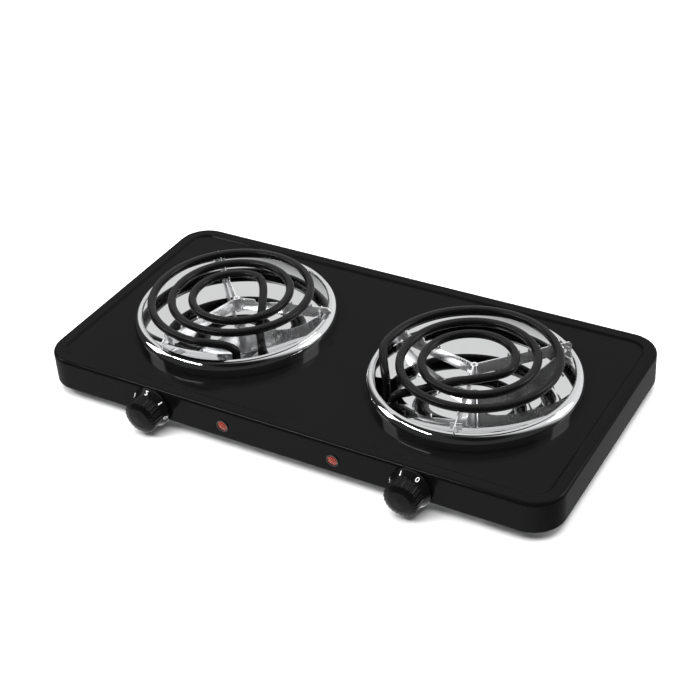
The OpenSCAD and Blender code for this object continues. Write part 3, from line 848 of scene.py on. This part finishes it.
def ribbon(points, width):
    """Left and right edges of a stroke of that width."""
    p = np.array(points, float)
    closed = np.linalg.norm(p[0] - p[-1]) < 1e-6
    edges = []
    for i in range(len(p)):
        before = p[i] - p[i - 1] if i else (p[0] - p[-2] if closed else None)
        after = p[i + 1] - p[i] if i + 1 < len(p) else (p[1] - p[0] if closed else None)
        if before is None:
            before = after
        if after is None:
            after = before
        u, v = unit(before), unit(after)
        t = unit(u + v)
        normal = np.array([-t[1], t[0]])
        reach = width / 2 / max(0.45, float(normal @ np.array([-u[1], u[0]])))
        edges.append((p[i] + normal * reach, p[i] - normal * reach))
    return edges


def numerals(side):
    """White figures printed on the knob's cone, growing anticlockwise round it."""
    height, width, stroke, raised = 3.4, 2.4, 0.55, 0.06
    step = -52.0
    first = 104.0 if side == "left" else 31.0
    slope = np.array([GRIP_R + 0.3 - SKIRT_R, CONE_Z - SKIRT_TOP_Z])
    length = np.linalg.norm(slope)
    along = slope / length
    outward = np.array([along[1], -along[0]])
    vertices, faces = [], []

    def on_cone(x, y, lift, centre):
        r, z = np.array([SKIRT_R, SKIRT_TOP_Z]) + along * ((length - height) / 2 + y) + outward * lift
        a = math.radians(90 - centre) - x / r
        return r * math.cos(a), r * math.sin(a), z

    for value, strokes in enumerate(NUMERALS):
        centre = first + step * value
        for points in strokes:
            scaled = [((x - 0.3) / 0.6 * width, y * height) for x, y in points]
            base = len(vertices)
            edges = ribbon(scaled, stroke)
            for pair in edges:
                for lift in (-0.05, raised):
                    vertices += [on_cone(q[0], q[1], lift, centre) for q in pair]
            for i in range(len(edges) - 1):
                a, b = base + 4 * i, base + 4 * (i + 1)
                faces += [(a + 2, a + 3, b + 3, b + 2), (a, b, b + 1, a + 1), (a, a + 2, b + 2, b),
                          (a + 1, b + 1, b + 3, a + 3)]
            end = base + 4 * (len(edges) - 1)
            if np.linalg.norm(np.array(scaled[0]) - np.array(scaled[-1])) > 1e-6:
                faces += [(base, base + 1, base + 3, base + 2), (end, end + 2, end + 3, end + 1)]
    obj = make(side + "_numerals", vertices, faces, place=front_place(side + "_knob", KNOB_Z))
    return finish_piece(obj, side + "_dial", SHADERS["numeral_paint"], "knob_plastic")


def lamp_lens(side):
    """A domed red lens whose face is cut into small diamonds."""
    rings, columns, dome, face_z = 26, 120, 9.0, 1.4
    pitch = 1.5
    vertices = []
    for i in range(rings + 1):
        r = LAMP_R * i / rings
        for j in range(columns):
            a = 2 * math.pi * j / columns
            x, y = r * math.cos(a), r * math.sin(a)
            u, v = (x + y) / pitch, (x - y) / pitch
            cut = 0.26 * max(abs((u % 1) - 0.5), abs((v % 1) - 0.5)) * 2
            z = face_z - dome + math.sqrt(dome * dome - r * r)
            vertices.append((x, y, z - cut * min(1, (LAMP_R - r) / 0.5)))
    for z in (-0.5, -3.9):
        for j in range(columns):
            a = 2 * math.pi * j / columns
            vertices.append((LAMP_R * math.cos(a), LAMP_R * math.sin(a), z))
    vertices += [(0, 0, -3.9)] * columns
    faces = grid_faces(rings + 4, columns)
    obj = make(side + "_lens", vertices, faces, sharp=25, place=front_place(side + "_lamp_lens", LAMP_Z))
    return finish_piece(obj, "base", SHADERS["lens_plastic"], "lens_plastic", side + "_lamp_lens")


def lamp_bezel(side):
    inner = LAMP_R + 0.05
    profile = rounded([
        (inner, -6, 0), (inner, 0.9, 0.25), (LAMP_R + 1.1, 0.9, 0.4), (LAMP_R + 1.1, 0.02, 0.1),
        (LAMP_R + 0.4, 0.02, 0), (LAMP_R + 0.4, -6, 0), (inner, -6, 0)], steps=5, guard=0.08)
    vertices, faces = lathe(profile, 64)
    obj = make(side + "_bezel", vertices, faces, place=front_place(side + "_lamp_lens", LAMP_Z))
    return finish_piece(obj, "base", SHADERS["bezel_plastic"], "bezel_plastic", side + "_lamp_bezel")


# ---------------------------------------------------------------- the object
for name, node in nodes.items():
    shader = SHADERS[SLOT_OF[name]]
    if not node.data.materials:
        node.data.materials.append(shader)
    for material_slot in node.material_slots:
        material_slot.material = shader

housing_skin()
for side in SIDES:
    trim_ring(side)
    drip_bowl(side)
    coil(side)
    for index in range(3):
        arm(side, index)
    hub(side)
    knob(side)
    numerals(side)
    lamp_lens(side)
    lamp_bezel(side)


# ---------------------------------------------------------------- stage, light and camera
def floor():
    size, n = 4.0, 8
    vertices = [(size * (i / n - 0.5) / MM, size * (j / n - 0.5) / MM, 0)
                for i in range(n + 1) for j in range(n + 1)]
    faces = grid_faces(n + 1, n + 1, closed_columns=False)
    obj = make("studio_floor", vertices, faces)
    s = Shader("studio_floor", (0.9, 0.9, 0.9), 0.9, Specular_IOR_Level=0.0)
    s.color(s.noise(0.4, 2), (0.895, 0.895, 0.895), (0.905, 0.905, 0.905))
    obj.data.materials.append(s.material)
    obj.visible_glossy = False


def area_light(name, place, target, size, power):
    light = bpy.data.lights.new(name, "AREA")
    light.shape = "RECTANGLE"
    light.size, light.size_y = size
    light.energy = power
    obj = bpy.data.objects.new(name, light)
    bpy.context.scene.collection.objects.link(obj)
    obj.location = place
    obj.rotation_euler = (Vector(target) - Vector(place)).to_track_quat("-Z", "Y").to_euler()
    return obj


def world_light():
    """A pale studio behind, darker in front and in a patch above the front, and bright below the
    floor's level, because the floor itself is hidden from reflections."""
    world = bpy.data.worlds.new("studio")
    world.use_nodes = True
    bpy.context.scene.world = world
    tree = world.node_tree
    background = tree.nodes["Background"]
    way = tree.nodes.new("ShaderNodeTexCoord").outputs["Generated"]

    def toward(direction, start, end, low, high):
        """A number that goes from low to high as the direction is neared, between two cosines."""
        dot = tree.nodes.new("ShaderNodeVectorMath")
        dot.operation = "DOT_PRODUCT"
        dot.inputs[1].default_value = unit(np.array(direction, float))
        tree.links.new(way, dot.inputs[0])
        remap = tree.nodes.new("ShaderNodeMapRange")
        remap.interpolation_type = "SMOOTHSTEP"
        for key, number in (("From Min", start), ("From Max", end), ("To Min", low), ("To Max", high)):
            remap.inputs[key].default_value = number
        tree.links.new(dot.outputs["Value"], remap.inputs["Value"])
        return remap.outputs["Result"]

    product = tree.nodes.new("ShaderNodeMath")
    product.operation = "MULTIPLY"
    tree.links.new(toward((0.1, 0.9, 0.45), 0.25, 0.62, 0.03, 0.8), product.inputs[0])
    tree.links.new(toward((0.31, -0.48, 0.82), 0.86, 0.97, 1.0, 0.25), product.inputs[1])
    total = tree.nodes.new("ShaderNodeMath")
    total.operation = "ADD"
    tree.links.new(product.outputs[0], total.inputs[0])
    tree.links.new(toward((-0.25, 0, -1), 0.35, 0.62, 0, 1.3), total.inputs[1])
    tree.links.new(total.outputs[0], background.inputs["Strength"])
    background.inputs["Color"].default_value = (1, 1, 1, 1)


def camera():
    """A long lens from the front right, a little above, with a slight lean."""
    azimuth, height, lean = math.radians(31.598), math.radians(34.878), math.radians(3.963)
    distance = 1.272995
    target = Vector((-0.0243, 0.0493, 0))
    back = Vector((math.sin(azimuth) * math.cos(height),
                   -math.cos(azimuth) * math.cos(height), math.sin(height)))
    right = Vector((math.cos(azimuth), math.sin(azimuth), 0))
    up = back.cross(right)
    across = math.cos(lean) * right - math.sin(lean) * up
    upward = math.sin(lean) * right + math.cos(lean) * up
    data = bpy.data.cameras.new("camera")
    data.sensor_width = 36
    data.lens = 77.68
    obj = bpy.data.objects.new("camera", data)
    bpy.context.scene.collection.objects.link(obj)
    place = target + distance * back
    obj.matrix_world = Matrix((
        (across.x, upward.x, back.x, place.x), (across.y, upward.y, back.y, place.y),
        (across.z, upward.z, back.z, place.z), (0, 0, 0, 1)))
    bpy.context.scene.camera = obj


floor()
world_light()
area_light("left_softbox", (-1.5, -0.5, 0.9), (0, 0, 0.03), (0.6, 0.9), 7)
area_light("right_softbox", (1.4, 0.9, 0.9), (0, 0, 0.03), (0.7, 0.9), 8)
area_light("edge_strip", (-0.78, -0.9, 1.32), (0, 0, 0.03), (0.9, 0.14), 11)
area_light("floor_fill", (0, 0, 2.2), (0, 0, 0), (2.6, 2.6), 110).visible_glossy = False
camera()
bpy.context.scene.view_settings.view_transform = "Standard"
